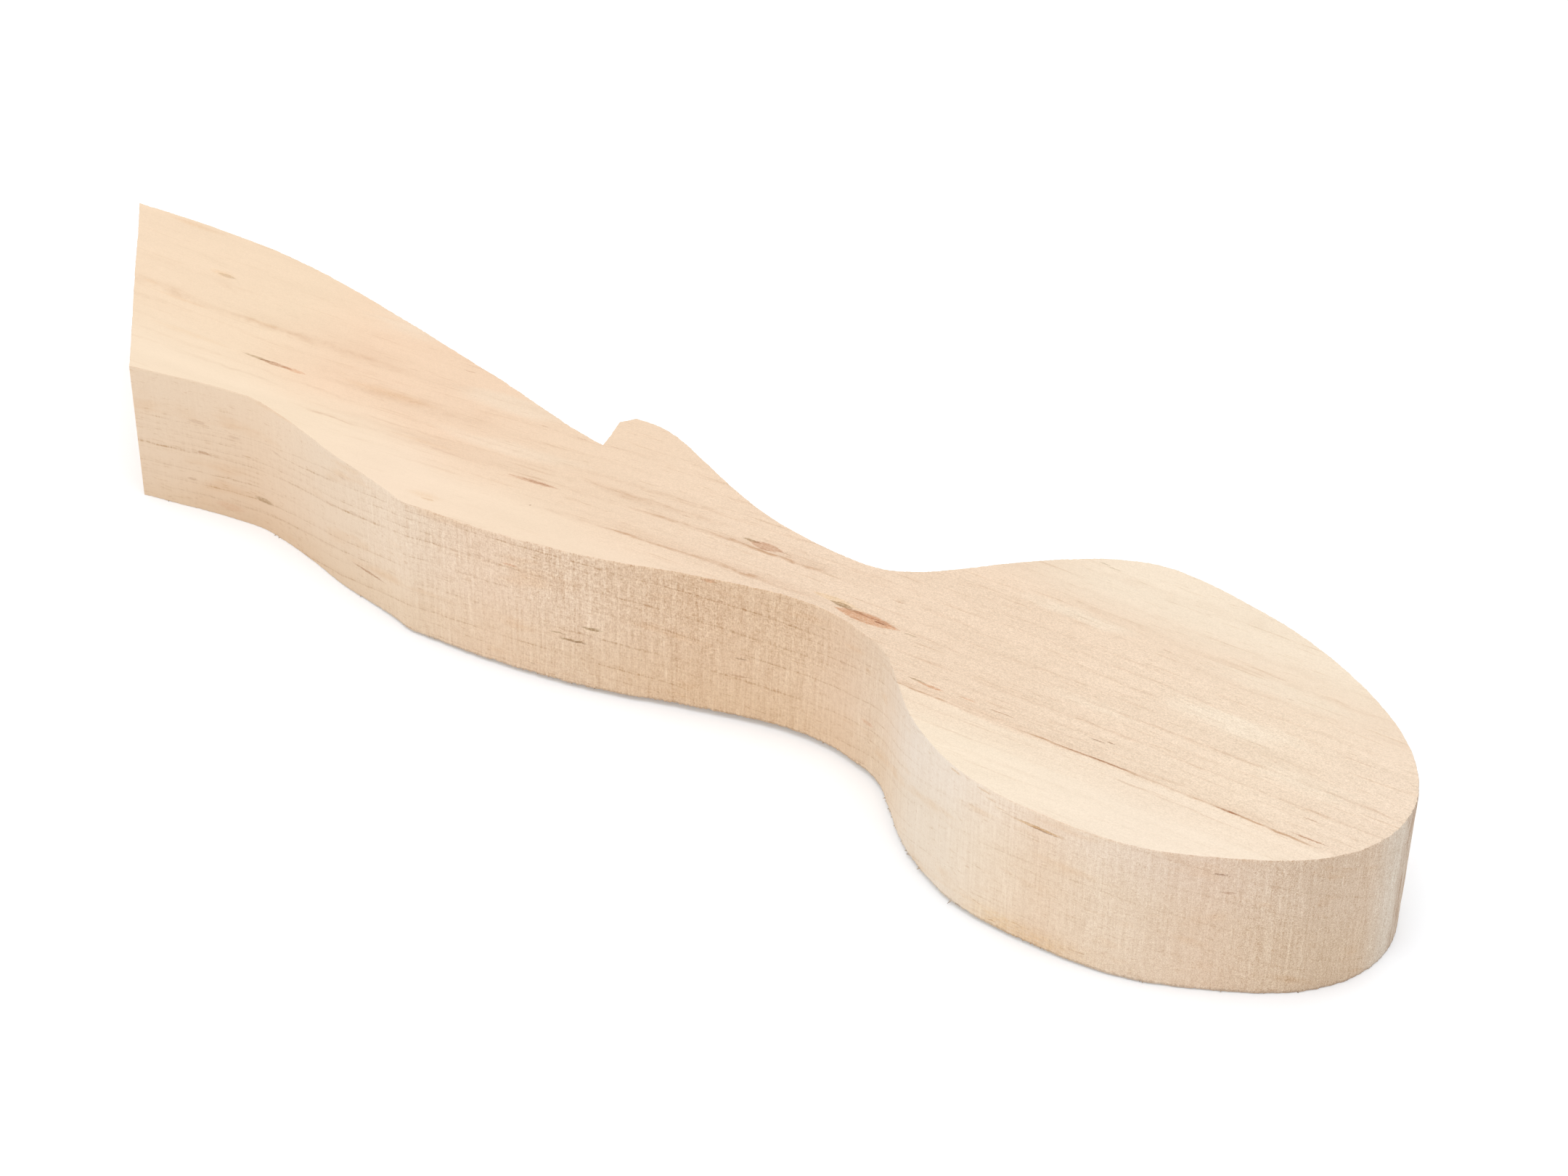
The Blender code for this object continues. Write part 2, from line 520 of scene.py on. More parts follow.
class Graph:
    """Writes a node tree as expressions. Arguments are numbers, tuples or sockets."""

    def __init__(self, name):
        self.material = bpy.data.materials.new(name)
        self.material.use_nodes = True
        self.tree = self.material.node_tree
        self.tree.nodes.clear()
        self.made = 0

    def node(self, kind, **settings):
        node = self.tree.nodes.new(kind)
        node.location = (180 * (self.made // 12), -160 * (self.made % 12))
        self.made += 1
        for key, value in settings.items():
            setattr(node, key, value)
        return node

    def feed(self, socket, value):
        if isinstance(value, bpy.types.NodeSocket):
            self.tree.links.new(value, socket)
        else:
            socket.default_value = value

    def math(self, operation, *values, clamp=False):
        node = self.node("ShaderNodeMath", operation=operation, use_clamp=clamp)
        for socket, value in zip(node.inputs, values):
            self.feed(socket, value)
        return node.outputs[0]

    def add(self, a, b):
        return self.math("ADD", a, b)

    def sub(self, a, b):
        return self.math("SUBTRACT", a, b)

    def mul(self, a, b):
        return self.math("MULTIPLY", a, b)

    def mad(self, a, b, c):
        return self.math("MULTIPLY_ADD", a, b, c)

    def ramp(self, value, lo, hi, out_lo=0.0, out_hi=1.0, smooth=True):
        node = self.node(
            "ShaderNodeMapRange",
            interpolation_type="SMOOTHSTEP" if smooth else "LINEAR",
            clamp=True,
        )
        for socket, v in zip(node.inputs, (value, lo, hi, out_lo, out_hi)):
            self.feed(socket, v)
        return node.outputs[0]

    def vector(self, x, y, z):
        node = self.node("ShaderNodeCombineXYZ")
        for socket, v in zip(node.inputs, (x, y, z)):
            self.feed(socket, v)
        return node.outputs[0]

    def vmath(self, operation, *values):
        node = self.node("ShaderNodeVectorMath", operation=operation)
        for socket, value in zip(node.inputs, values):
            self.feed(socket, value)
        return node.outputs["Value" if operation in ("LENGTH", "DOT_PRODUCT") else 0]

    def parts(self, vector):
        node = self.node("ShaderNodeSeparateXYZ")
        self.feed(node.inputs[0], vector)
        return tuple(node.outputs)

    def noise(self, vector, scale=(1, 1, 1), detail=2.0, rough=0.5, seed=0.0):
        moved = self.node("ShaderNodeMapping", vector_type="POINT")
        self.feed(moved.inputs["Vector"], vector)
        moved.inputs["Scale"].default_value = scale
        moved.inputs["Location"].default_value = (seed * 7.31, seed * 3.77, seed * 5.13)
        node = self.node("ShaderNodeTexNoise", noise_dimensions="3D")
        self.feed(node.inputs["Vector"], moved.outputs[0])
        node.inputs["Scale"].default_value = 1.0
        node.inputs["Detail"].default_value = detail
        node.inputs["Roughness"].default_value = rough
        return node.outputs[0]

    def grit(self, vector, scale=(1, 1, 1), detail=2.0, rough=0.5, seed=0.0):
        """Noise that swings about 0, by about 1 either way."""
        return self.mad(self.noise(vector, scale, detail, rough, seed), 8.0, -4.0)

    def curve(self, value, lo, hi, points, bottom, height):
        """A smooth function of value through points, each (value, result)."""
        at = self.ramp(value, lo, hi, smooth=False)
        node = self.node("ShaderNodeFloatCurve")
        self.feed(node.inputs["Value"], at)
        line = node.mapping.curves[0]
        scaled = [((x - lo) / (hi - lo), (y - bottom) / height) for x, y in points]
        line.points[0].location = scaled[0]
        line.points[-1].location = scaled[-1]
        for place in scaled[1:-1]:
            line.points.new(*place)
        node.mapping.update()
        return self.mad(node.outputs[0], height, bottom)

    def colours(self, value, lo, hi, stops):
        """A colour that follows value through stops, each (value, linear colour)."""
        at = self.ramp(value, lo, hi, smooth=False)
        node = self.node("ShaderNodeValToRGB")
        self.feed(node.inputs[0], at)
        elements = node.color_ramp.elements
        placed = [((x - lo) / (hi - lo), colour) for x, colour in stops]
        elements[0].position, elements[1].position = placed[0][0], placed[-1][0]
        elements[0].color = (*placed[0][1], 1.0)
        elements[1].color = (*placed[-1][1], 1.0)
        for x, colour in placed[1:-1]:
            elements.new(x).color = (*colour, 1.0)
        return node.outputs[0]

    def mix(self, factor, a, b, blend="MIX"):
        node = self.node("ShaderNodeMix", data_type="RGBA", blend_type=blend)
        node.clamp_factor = True
        self.feed(node.inputs[0], factor)
        self.feed(node.inputs[6], a)
        self.feed(node.inputs[7], b)
        return node.outputs[2]

    def tint(self, factor, colour, by):
        """The colour multiplied by the tint, where factor is 1."""
        return self.mix(factor, colour, (*by, 1.0), "MULTIPLY")


# The light that reaches each kind of surface: a colour seen there is its albedo times this.
TOP_LIGHT = 1.188
SIDE_LIGHT = 1.032


def seen(rgb, light):
    return tuple(float(c) for c in linear(rgb) / light)


# Growth rings: (distance from the pith in mm, half width, strength on the planed face, strength on the sawn side,
# from x, to x).
RINGS = [
    (79.2, 0.16, 0.09, 0.10, -200, 200),
    (80.1, 0.26, 0.24, 0.20, -200, -55),
    (80.1, 0.15, 0.09, 0.10, -50, 200),
    (80.75, 0.13, 0.14, 0.10, -200, 200),
    (81.4, 0.70, 0.18, 0.10, -64, -36),
    (81.6, 0.14, 0.12, 0.10, -30, 200),
    (82.6, 0.14, 0.14, 0.15, -200, 200),
    (83.3, 0.12, 0.13, 0.15, -200, 200),
    (84.2, 0.20, 0.60, 0.30, -60, 34),
    (84.2, 0.14, 0.20, 0.20, 30, 200),
    (85.3, 0.13, 0.15, 0.15, 0, 200),
    (85.3, 0.13, 0.07, 0.15, -200, 4),
    (86.4, 0.15, 0.24, 0.20, -14, 200),
    (87.3, 0.12, 0.11, 0.15, 20, 200),
    (88.2, 0.14, 0.24, 0.20, 6, 200),
    (89.1, 0.12, 0.13, 0.15, 30, 200),
    (89.9, 0.14, 0.15, 0.20, -200, 200),
    (91.1, 0.15, 0.72, 0.45, 42, 200),
    (91.1, 0.17, 0.20, 0.45, -200, 44),
    (92.3, 0.12, 0.20, 0.30, -200, 200),
    (93.7, 0.12, 0.10, 0.32, -200, 200),
    (95.1, 0.26, 0.08, 0.55, -200, 200),
    (96.0, 0.14, 0.10, 0.20, -200, 200),
    (98.4, 0.18, 0.10, 0.32, -200, 200),
    (100.7, 0.18, 0.10, 0.32, -200, 200),
    (102.8, 0.32, 0.10, 0.32, -200, 200),
    (104.6, 0.15, 0.22, 0.22, -200, 200),
    (107.2, 0.20, 0.34, 0.40, -200, 200),
    (109.3, 0.16, 0.26, 0.24, -200, 200),
    (111.3, 0.16, 0.24, 0.24, -200, 200),
    (113.5, 0.20, 0.36, 0.36, -200, 200),
    (116.0, 0.18, 0.30, 0.30, -200, 200),
    (118.5, 0.20, 0.34, 0.30, -200, 200),
    (83.4, 0.30, 0.40, 0.00, -24, 4),
    (86.5, 0.16, 0.40, 0.00, -16, 34),
    (87.6, 0.12, 0.22, 0.00, 0, 36),
]

# Flecks in the wood: (x, q, z, half length, half width, strength, kind), with q the y coordinate less the grain's sweep.
TOP_FLECKS = [
    (-104.6, 21.4, 25, 5.6, 0.80, 0.75, "amber"),
    (-99.9, 5.7, 25, 1.8, 0.50, 0.55, "amber"),
    (-93.0, 4.3, 25, 6.2, 0.45, 0.60, "amber"),
    (-52.3, -0.7, 25, 9.0, 1.50, 0.75, "amber"),
    (-78.8, 5.3, 25, 4.7, 0.50, 0.50, "amber"),
    (-92.4, 12.9, 25, 2.9, 0.90, 0.80, "amber"),
    (-67.6, -2.4, 25, 2.1, 0.35, 0.60, "red"),
    (-41.6, -8.7, 25, 7.2, 0.50, 0.45, "amber"),
    (-86.0, -2.3, 25, 8.3, 0.70, 0.40, "amber"),
    (-91.6, 12.75, 25, 1.7, 0.34, 0.34, "olive"),
    (-74.2, -2.3, 25, 3.0, 0.26, 0.62, "olive"),
    (-70.8, -2.4, 25, 3.0, 0.34, 0.80, "brown"),
    (-46.3, 9.6, 25, 1.0, 0.14, 0.45, "brown"),
    (-29.0, 2.4, 25, 0.9, 0.14, 0.45, "brown"),
    (-22.8, 2.0, 25, 0.9, 0.14, 0.40, "brown"),
    (-17.5, 2.3, 25, 1.3, 0.14, 0.45, "brown"),
    (-22.4, -10.14, 25, 4.2, 0.40, 0.70, "pink"),
    (-21.6, -10.14, 25, 2.6, 0.26, 0.75, "brown"),
    (-19.5, -15.27, 25, 0.18, 0.14, 0.80, "dark"),
    (-33.2, -19.8, 25, 3.2, 1.00, 0.60, "amber"),
    (-32.2, -20.5, 25, 1.3, 0.20, 0.50, "orange"),
    (0.2, -7.5, 25, 1.1, 0.13, 0.40, "brown"),
    (13.5, -8.3, 25, 2.6, 0.78, 0.95, "pink"),
    (13.2, -7.75, 25, 1.7, 0.13, 0.40, "brown"),
    (14.0, -8.95, 25, 1.6, 0.12, 0.35, "brown"),
    (11.0, -8.05, 25, 1.5, 0.24, 0.85, "olive"),
    (16.6, -8.35, 25, 1.6, 0.10, 0.50, "brown"),
    (28.0, -13.9, 25, 3.4, 0.50, 0.60, "gold"),
    (31.0, -14.2, 25, 2.6, 0.22, 0.40, "gold"),
    (34.1, -15.35, 25, 5.0, 0.98, 0.95, "red"),
    (31.4, -14.75, 25, 2.4, 0.24, 0.60, "olive"),
    (29.5, -14.45, 25, 1.7, 0.38, 0.85, "olive"),
    (34.0, -14.95, 25, 3.0, 0.15, 0.60, "brown"),
    (36.2, -15.3, 25, 1.3, 0.12, 0.90, "dark"),
    (33.0, -16.1, 25, 2.6, 0.12, 0.45, "brown"),
    (37.2, -15.1, 25, 1.8, 0.10, 0.55, "brown"),
    (41.1, -15.4, 25, 1.4, 0.11, 0.60, "olive"),
    (47.0, -23.35, 25, 1.5, 0.20, 0.70, "olive"),
    (49.3, -23.6, 25, 2.3, 0.22, 0.95, "red"),
    (54.9, -23.35, 25, 1.5, 0.15, 0.65, "red"),
    (60.5, -23.5, 25, 2.4, 0.12, 0.75, "brown"),
    (73.9, -21.7, 25, 1.4, 0.11, 0.75, "dark"),
    (75.6, -21.2, 25, 0.7, 0.09, 0.60, "dark"),
    (72.4, -25.15, 25, 3.6, 0.17, 0.85, "brown"),
    (77.4, -25.05, 25, 3.8, 0.15, 0.90, "brown"),
    (95.4, -25.2, 25, 2.3, 0.18, 0.90, "brown"),
    (95.9, -25.2, 25, 1.2, 0.12, 0.60, "red"),
    (107.0, -24.5, 25, 3.0, 0.17, 0.95, "brown"),
    (105.2, -21.0, 25, 1.3, 0.13, 0.75, "brown"),
    (54.7, 12.4, 25, 0.9, 0.13, 0.45, "olive"),
    (56.3, 12.1, 25, 1.4, 0.11, 0.35, "olive"),
    (71.8, -0.1, 25, 1.0, 0.11, 0.45, "brown"),
    (86.9, 2.7, 25, 2.1, 0.11, 0.40, "brown"),
    (90.7, -0.5, 25, 0.6, 0.10, 0.40, "brown"),
    (104.7, -7.2, 25, 2.8, 0.11, 0.42, "brown"),
    (35.7, -9.9, 25, 1.1, 0.10, 0.60, "brown"),
]

SIDE_FLECKS = [
    (-77.5, -11.8, 11.4, 1.2, 0.28, 0.60, "brown"),
    (-78.2, -11.9, 17.2, 1.4, 0.40, 0.35, "brown"),
    (-72.2, -11.3, 16.1, 1.0, 0.30, 0.30, "brown"),
    (-64.0, -12.3, 16.8, 0.9, 0.25, 0.30, "brown"),
    (-48.2, -17.9, 21.6, 0.9, 0.22, 0.30, "brown"),
    (-52.0, -16.6, 14.6, 0.9, 0.22, 0.40, "pink"),
    (-46.0, -18.6, 16.1, 0.9, 0.22, 0.30, "brown"),
    (-22.2, -23.3, 19.9, 0.9, 0.20, 0.35, "brown"),
    (-17.4, -23.3, 19.9, 1.3, 0.20, 0.60, "red"),
    (-79.7, -12.2, 5.7, 0.9, 0.30, 0.40, "brown"),
    (-67.4, -11.4, 5.8, 1.8, 0.50, 0.60, "olive"),
    (-73.7, -11.4, 2.2, 2.6, 0.80, 0.30, "red"),
    (-43.6, -19.5, 6.1, 3.6, 0.24, 0.85, "brown"),
    (-5.0, -22.1, 11.8, 1.5, 0.28, 0.85, "olive"),
    (-10.0, -22.6, 9.7, 1.3, 0.14, 0.60, "olive"),
    (-7.8, -22.6, 8.9, 2.2, 0.20, 0.85, "olive"),
    (-7.2, -22.6, 8.75, 1.6, 0.12, 0.60, "dark"),
    (16.0, -17.5, 11.6, 0.8, 0.16, 0.60, "dark"),
    (15.8, -17.5, 8.4, 1.8, 0.20, 0.50, "brown"),
    (13.0, -18.1, 21.3, 0.8, 0.20, 0.50, "brown"),
    (11.1, -18.5, 24.6, 1.0, 0.30, 0.60, "red"),
    (32.0, -17.4, 17.5, 0.8, 0.30, 0.30, "brown"),
    (37.3, -19.1, 9.7, 1.2, 0.40, 0.50, "red"),
    (75.1, -38.6, 22.3, 4.2, 0.26, 0.90, "orange"),
    (76.0, -38.6, 22.1, 2.4, 0.14, 0.60, "dark"),
    (99.5, -33.8, 22.0, 0.9, 0.16, 0.65, "dark"),
    (100.5, -33.4, 18.7, 1.0, 0.22, 0.60, "brown"),
    (61.3, -36.5, 24.4, 1.0, 0.20, 0.60, "orange"),
    (66.6, -37.5, 24.3, 1.2, 0.16, 0.55, "orange"),
    (67.6, -37.6, 23.4, 1.0, 0.12, 0.45, "orange"),
    (69.2, -37.9, 22.7, 1.0, 0.12, 0.40, "orange"),
    (-13.7, -23.1, 2.4, 0.9, 0.20, 0.30, "brown"),
]

FLECK_TINTS = {
    "amber": (0.93, 0.825, 0.70),
    "gold": (0.97, 0.89, 0.70),
    "pink": (0.77, 0.62, 0.54),
    "red": (0.81, 0.57, 0.43),
    "orange": (0.77, 0.60, 0.38),
    "brown": (0.62, 0.45, 0.35),
    "olive": (0.47, 0.39, 0.25),
    "dark": (0.38, 0.24, 0.16),
}

# Paler patches of the planed face: (x, q, half length, half width, strength).
PALE_PATCHES = [
    (87.0, -9.2, 12.0, 2.6, 0.75),
    (58.0, 0.5, 9.0, 1.6, 0.65),
    (90.0, 0.6, 13.0, 2.4, 0.60),
    (101.0, -15.0, 8.0, 2.2, 0.45),
    (70.0, -15.5, 8.0, 1.2, 0.30),
    (-60.0, 17.0, 10.0, 4.2, 0.40),
    (-108.0, 5.5, 5.0, 4.0, 0.75),
    (-36.0, 5.0, 9.0, 3.0, 0.40),
    (-30.0, -4.6, 13.0, 1.8, 0.30),
]


class Wood:
    """The wood's own field: growth rings, flecks and fibre, the same through the whole board."""

    def __init__(self, name, ring_range, flecks, sawn):
        g = self.g = Graph(name)
        self.sawn = sawn
        coords = g.node("ShaderNodeTexCoord").outputs["Object"]
        self.p = g.vmath("MULTIPLY", coords, (1000.0, 1000.0, 1000.0))
        self.x, self.y, self.z = g.parts(self.p)
        xo = g.sub(self.x, 0.3)
        sweep = g.mad(
            g.math("TANH", g.mul(g.add(xo, 28.0), 1 / 45.0)), 4.95, g.mul(xo, 0.09)
        )
        self.q = g.sub(self.y, sweep)
        across = g.sub(self.q, 20.8)
        down = g.sub(self.z, 103.6)
        r = g.math("SQRT", g.mad(across, across, g.mul(down, down)))
        self.r = r
        self.grain = g.vector(self.x, self.q, self.z)
        rho = r
        if sawn:
            depth = g.ramp(self.z, 24.6, 17.0)
            left = g.math("MINIMUM", g.add(self.x, 30.0), 0.0)
            neck = g.math(
                "EXPONENT",
                g.mul(g.math("POWER", g.mul(g.sub(self.x, 24.0), 1 / 14.0), 2.0), -1.0),
            )
            bowl = g.ramp(self.x, 40.0, 60.0)
            shift = g.mad(left, 0.065, g.mad(neck, -0.9, g.mul(bowl, 0.8)))
            rho = g.mad(depth, shift, r)
        slow = g.grit(self.grain, (1 / 26, 1 / 9, 1 / 9), 1.0, seed=1)
        quick = g.grit(self.grain, (1 / 4.0, 1 / 1.6, 1 / 1.6), 2.0, seed=2)
        rho = g.mad(slow, 0.07, rho)
        self.rho = g.mad(quick, 0.045, rho)
        self.rings = self.ring_lines(ring_range)
        self.flecks = flecks

    def ring_lines(self, ring_range):
        """How dark the growth rings are here, 0 to about 1."""
        g = self.g
        along = g.vector(g.mul(self.x, 1 / 15.0), g.mul(self.rho, 1.6), 4.0)
        patchy = g.ramp(g.noise(along, detail=2.0, rough=0.6, seed=3), 0.36, 0.66, 0.12, 1.35)
        close = g.vector(g.mul(self.x, 1 / 2.2), g.mul(self.rho, 3.0), 6.0)
        broken = g.ramp(g.noise(close, detail=2.0, rough=0.6, seed=4), 0.34, 0.62, 0.35, 1.15)
        core, trail = 0.0, 0.0
        for at, half, planed, sawn, x0, x1 in RINGS:
            strength = sawn if self.sawn else planed
            if not ring_range[0] <= at <= ring_range[1]:
                continue
            off = g.sub(self.rho, at)
            line = g.ramp(g.math("ABSOLUTE", off), half * 0.2, half, strength, 0.0)
            window = None
            if x0 > -200:
                window = g.ramp(self.x, x0 - 4, x0 + 4)
            if x1 < 200:
                up_to = g.ramp(self.x, x1 + 4, x1 - 4)
                window = up_to if window is None else g.mul(window, up_to)
            if window is not None:
                line = g.mul(line, window)
            core = g.add(core, line)
            if strength >= 0.22:
                late = g.mul(g.ramp(off, -1.15, 0.0, 0.0, strength), g.ramp(off, 0.06, 0.0))
                if window is not None:
                    late = g.mul(late, window)
                trail = g.add(trail, late)
        return g.mad(g.mul(core, broken), 1.0, g.mul(trail, 0.30)), patchy

    def stray_lines(self):
        """Fine, short dark lines between the rings: the longer ones, and the pores' own short dashes."""
        g = self.g
        long_ones = g.noise(self.grain, (1 / 12, 1.9, 1.9), 3.0, 0.6, seed=5)
        short = g.noise(self.grain, (1 / 2.6, 3.4, 3.4), 2.0, 0.55, seed=6)
        return g.ramp(long_ones, 0.57, 0.74), g.ramp(short, 0.62, 0.76)

    def fleck_colour(self, colour):
        g = self.g
        jitter = g.node("ShaderNodeTexNoise", noise_dimensions="3D")
        scaled = g.vmath("MULTIPLY", self.grain, (1.1, 4.0, 4.0))
        g.feed(jitter.inputs["Vector"], scaled)
        jitter.inputs["Scale"].default_value = 1.0
        jitter.inputs["Detail"].default_value = 3.0
        jitter.inputs["Roughness"].default_value = 0.65
        shaken = g.vmath("SUBTRACT", jitter.outputs[1], (0.5, 0.5, 0.5))
        shaken = g.vmath("MULTIPLY", shaken, (1.4, 0.42, 0.42))
        here = g.vmath("ADD", self.grain, shaken)
        masks = {}
        for x, q, z, half_length, half_width, strength, kind in self.flecks:
            local = g.node("ShaderNodeMapping", vector_type="TEXTURE")
            g.feed(local.inputs["Vector"], here)
            local.inputs["Location"].default_value = (x, q, z)
            half_width = max(half_width, 0.11)
            if self.sawn:
                local.inputs["Scale"].default_value = (half_length * 1.2, 6.0, half_width * 1.2)
                away = g.vmath("LENGTH", local.outputs[0])
                mask = g.ramp(away, 1.0, 0.45, 0.0, strength)
            else:
                # A lens with pointed ends.
                local.inputs["Scale"].default_value = (half_length * 1.1, half_width * 1.2, 1.0)
                u, v, _ = g.parts(local.outputs[0])
                away = g.mad(u, u, g.math("ABSOLUTE", v))
                soft = 0.72 if half_width > 0.3 else 0.40
                soft = -0.3 if kind == "amber" else soft
                mask = g.ramp(away, 1.0, soft, 0.0, strength)
            masks[kind] = mask if kind not in masks else g.math("MAXIMUM", masks[kind], mask)
        mottle = g.ramp(g.noise(self.grain, (2.2, 6.0, 6.0), 2.0, seed=14), 0.30, 0.60, 0.50, 1.0)
        for kind, tint in FLECK_TINTS.items():
            if kind in masks:
                colour = g.tint(g.mul(masks[kind], mottle), colour, tint)
        return colour

    def shaded(self, colour, amount):
        """The colour made lighter or darker by amount, which swings about 0. The blue swings a little further."""
        g = self.g
        gain = g.node("ShaderNodeVectorMath", operation="MULTIPLY_ADD")
        g.feed(gain.inputs[0], amount)
        gain.inputs[1].default_value = (0.70, 1.0, 1.26) if self.sawn else (0.90, 1.0, 1.16)
        gain.inputs[2].default_value = (1.0, 1.0, 1.0)
        return g.vmath("MULTIPLY", colour, gain.outputs[0])

    def finish(self, colour, roughness, height, depth_mm):
        g = self.g
        shader = g.node("ShaderNodeBsdfPrincipled")
        g.feed(shader.inputs["Base Color"], colour)
        g.feed(shader.inputs["Roughness"], roughness)
        shader.inputs["Specular IOR Level"].default_value = 0.30
        bump = g.node("ShaderNodeBump")
        bump.inputs["Strength"].default_value = 1.0
        bump.inputs["Distance"].default_value = depth_mm * MM
        g.feed(bump.inputs["Height"], height)
        g.feed(shader.inputs["Normal"], bump.outputs[0])
        out = g.node("ShaderNodeOutputMaterial")
        g.feed(out.inputs["Surface"], shader.outputs[0])
        return g.material


PEACH = [
    (-120, (249, 223, 194)),
    (-78, (247, 221, 191)),
    (-62, (247, 216, 186)),
    (-38, (244, 214, 185)),
    (-20, (243, 216, 188)),
    (20, (241, 215, 189)),
    (55, (241, 216, 190)),
    (80, (242, 219, 194)),
    (95, (243, 221, 196)),
    (120, (243, 221, 198)),
]
CREAM = [
    (-120, (250, 228, 201)),
    (-60, (250, 227, 199)),
    (-40, (250, 226, 200)),
    (-20, (247, 223, 196)),
    (10, (247, 222, 196)),
    (30, (248, 226, 200)),
    (60, (250, 232, 208)),
    (85, (250, 232, 210)),
    (120, (250, 231, 208)),
]
# Where the peach-coloured heart gives way to cream: the ring that is the border, by x.
BORDER = [
    (-120, 82.0),
    (-84, 82.4),
    (-70, 83.0),
    (-52, 83.4),
    (-42, 84.4),
    (-30, 85.7),
    (-18, 86.0),
    (-6, 87.4),
    (8, 87.9),
    (18, 88.2),
    (30, 88.6),
    (40, 90.8),
    (50, 91.15),
    (120, 91.2),
]
LO, HI = -120.0, 120.0


def planed_material(name, ring_range, flecks, top):
    w = Wood(name, ring_range, flecks, False)
    g = w.g
    peach = g.colours(w.x, LO, HI, [(x, seen(c, TOP_LIGHT)) for x, c in PEACH])
    cream = g.colours(w.x, LO, HI, [(x, seen(c, TOP_LIGHT)) for x, c in CREAM])
    border = g.curve(w.x, LO, HI, BORDER, 78.0, 20.0)
    slow = g.grit(w.grain, (1 / 14, 1 / 2.6, 1 / 2.6), 2.0, seed=8)
    over = g.sub(g.mad(slow, 0.14, w.rho), border)
    # The border is sharp only at the bowl, where a ring marks it and a half-pale band follows it.
    at_bowl = g.ramp(w.x, 24.0, 42.0)
    gentle = g.ramp(over, -1.6, 1.6)
    abrupt = g.mad(g.ramp(over, -0.35, 0.25), 0.55, g.mul(g.ramp(over, 1.4, 3.2), 0.45))
    is_cream = g.add(g.mul(gentle, g.sub(1.0, at_bowl)), g.mul(abrupt, at_bowl))
    colour = g.mix(is_cream, peach, cream)
    if top:
        pale_rim = g.mul(g.ramp(w.r, 81.2, 79.3), g.ramp(w.x, 36.0, 60.0))
        pale = g.mul(pale_rim, 0.85)
        drift = g.mul(g.grit(w.grain, (1 / 7, 1 / 1.5, 1 / 1.5), 3.0, seed=15), 0.16)
        for x, q, half_length, half_width, strength in PALE_PATCHES:
            local = g.node("ShaderNodeMapping", vector_type="TEXTURE")
            g.feed(local.inputs["Vector"], w.grain)
            local.inputs["Location"].default_value = (x, q, 25)
            local.inputs["Scale"].default_value = (half_length, half_width, 50)
            away = g.add(g.vmath("LENGTH", local.outputs[0]), drift)
            pale = g.math("MAXIMUM", pale, g.ramp(away, 1.15, 0.25, 0.0, strength))
        colour = g.mix(pale, colour, (*seen((248, 231, 208), TOP_LIGHT), 1.0))

    # Every ring a little lighter or darker than the next, with mottled patches along the grain.
    band = g.grit(g.vector(g.mul(w.x, 1 / 50), g.mul(w.rho, 0.9), 2.0), (1, 1, 1), 2.0, seed=9)
    patch = g.grit(w.grain, (1 / 16, 1 / 3, 1 / 3), 3.0, seed=10)
    shade = g.mad(band, 0.010, g.mul(patch, 0.012))
    colour = w.shaded(colour, shade)

    lines, patchy = w.rings
    colour = g.tint(g.mul(lines, patchy), colour, (0.70, 0.56, 0.45))
    long_ones, short = w.stray_lines()
    busy = g.mul(g.mad(is_cream, -0.65, 1.0), g.ramp(w.x, -90.0, -15.0, 0.40, 1.0))
    colour = g.tint(g.mul(long_ones, g.mul(busy, 0.50)), colour, (0.80, 0.70, 0.60))
    colour = g.tint(g.mul(short, g.mul(busy, 0.45)), colour, (0.78, 0.68, 0.58))

    # Fibre and pores. They are finer and crisper towards the bowl, and quieter in the cream wood.
    crisp = g.curve(
        w.x, LO, HI, [(-120, 0.25), (-60, 0.32), (-20, 0.45), (10, 0.8), (40, 1.0), (120, 1.0)], 0.0, 1.0
    )
    crisp = g.mul(crisp, g.mad(is_cream, -0.55, 1.0))
    if top:
        crisp = g.mul(crisp, g.ramp(w.y, 16.0, 6.0, 0.45, 1.0))
    fibre = g.grit(w.grain, (0.22, 2.4, 2.4), 3.0, 0.6, seed=11)
    speck = g.grit(w.grain, (4.4, 6.4, 6.4), 2.0, 0.65, seed=12)
    flake = g.grit(w.grain, (0.9, 3.0, 3.0), 2.0, 0.5, seed=13)
    fine = g.mad(fibre, 0.010, g.mad(flake, 0.018, g.mul(speck, 0.088)))
    colour = w.shaded(colour, g.mul(fine, crisp))
    if flecks:
        colour = w.fleck_colour(colour)
    roughness = g.mad(fibre, 0.03, 0.62)
    height = g.add(g.mul(fibre, 0.10), g.mul(speck, 0.05))
    return w.finish(colour, roughness, height, 0.03)


# The sawn side's colour by x: partly the wood's own tone, partly painted light. The bright stretch at x 52 to 68,
# where the side faces the left light, stands in for light from the left.
SAWN_TONE_AND_LIGHT = [
    (-120, (237, 210, 182)),
    (-84, (237, 211, 183)),
    (-68, (236, 208, 179)),
    (-53, (235, 211, 185)),
    (-37, (239, 216, 191)),
    (-21, (240, 212, 185)),
    (-6, (237, 209, 181)),
    (9, (232, 200, 168)),
    (24, (233, 202, 170)),
    (32, (233, 204, 175)),
    (40, (233, 210, 185)),
    (52, (237, 222, 205)),
    (60, (241, 225, 207)),
    (68, (246, 226, 204)),
    (76, (242, 217, 192)),
    (84, (243, 221, 198)),
    (91, (239, 216, 193)),
    (98, (235, 209, 185)),
    (106, (228, 203, 178)),
    (111, (217, 192, 167)),
    (120, (219, 195, 171)),
]


